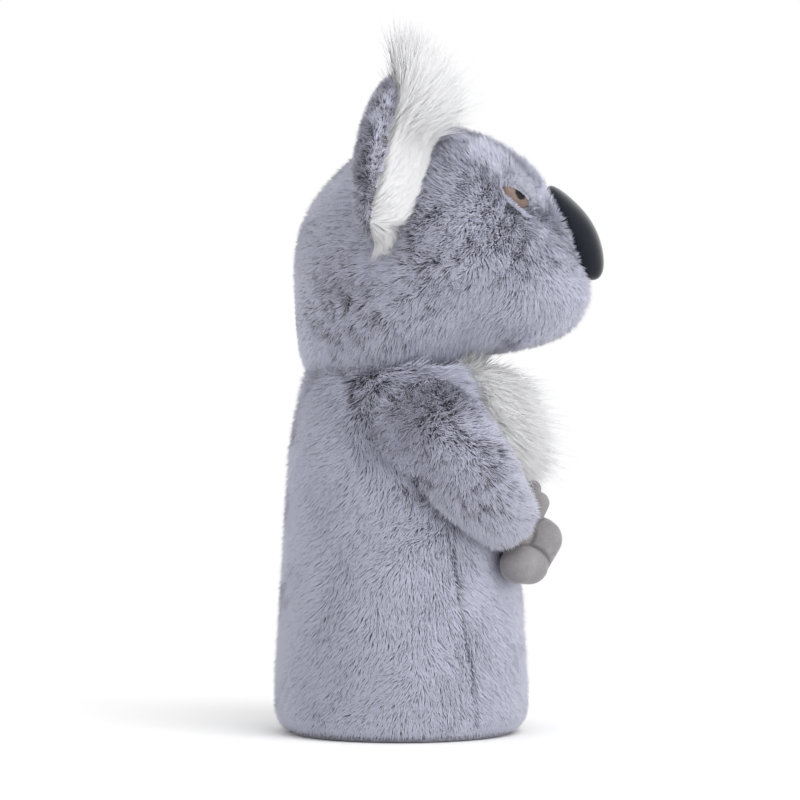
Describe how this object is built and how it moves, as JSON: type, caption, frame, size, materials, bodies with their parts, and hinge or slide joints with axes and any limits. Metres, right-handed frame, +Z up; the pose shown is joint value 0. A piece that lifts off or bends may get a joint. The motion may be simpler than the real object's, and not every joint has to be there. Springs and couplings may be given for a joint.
{
  "type": "driver head cover",
  "caption": "Plush koala cover for a golf driver's head: a lined fur sock open at the bottom, with a stuffed head, cupped ears, a white bib and stuffed arms that lift.",
  "frame": {"origin": "centre of the sock's mouth, in the plane of the hem", "axes": "+Z up from the hem to the ears, the face looks along -Y, +X is the animal's left"},
  "size_m": [0.208, 0.1521, 0.3139],
  "materials": {
    "grey_fur": "short dense plush pile, pale tips over dark roots",
    "ear_fur": "short dense plush pile, darker",
    "white_pile": "long soft white pile",
    "lining_knit": "fine dark knit",
    "wadding": "loose polyester wadding",
    "nose_velvet": "short-nap velvet",
    "paw_suede": "brushed suede cloth",
    "eye": "clear gloss over an amber iris and a black pupil",
    "washer": "matte natural plastic"
  },
  "bodies": {
    "trunk": {"body_back_panel": "grey_fur", "body_front_panel": "grey_fur", "chest_bib": "white_pile", "hem_facing": "lining_knit", "lining_sock": "lining_knit", "head_left_panel": "grey_fur", "head_right_panel": "grey_fur", "head_gusset": "grey_fur", "chin_panel": "grey_fur", "head_filling": "wadding", "nose_cover": "nose_velvet", "nose_filling": "wadding", "eye_left": "eye", "eye_right": "eye", "eye_washer_left": "washer", "eye_washer_right": "washer", "ear_left_back": "ear_fur", "ear_right_back": "ear_fur", "ear_left_front": "white_pile", "ear_right_front": "white_pile", "ear_left_filling": "wadding", "ear_right_filling": "wadding"},
    "arm_left": {"arm_left_sleeve": "grey_fur", "arm_left_filling": "wadding", "paw_left_cover": "paw_suede", "paw_left_filling": "wadding"},
    "arm_right": {"arm_right_sleeve": "grey_fur", "arm_right_filling": "wadding", "paw_right_cover": "paw_suede", "paw_right_filling": "wadding"}
  },
  "joints": [
    {"name": "arm_left_lift", "type": "hinge", "parent": "trunk", "child": "arm_left", "pos_m": [0.0451, -0.009, 0.146], "axis": [-1, 0, 0], "range_deg": [0, 35]},
    {"name": "arm_right_lift", "type": "hinge", "parent": "trunk", "child": "arm_right", "pos_m": [-0.0451, -0.009, 0.146], "axis": [-1, 0, 0], "range_deg": [0, 35]}
  ]
}
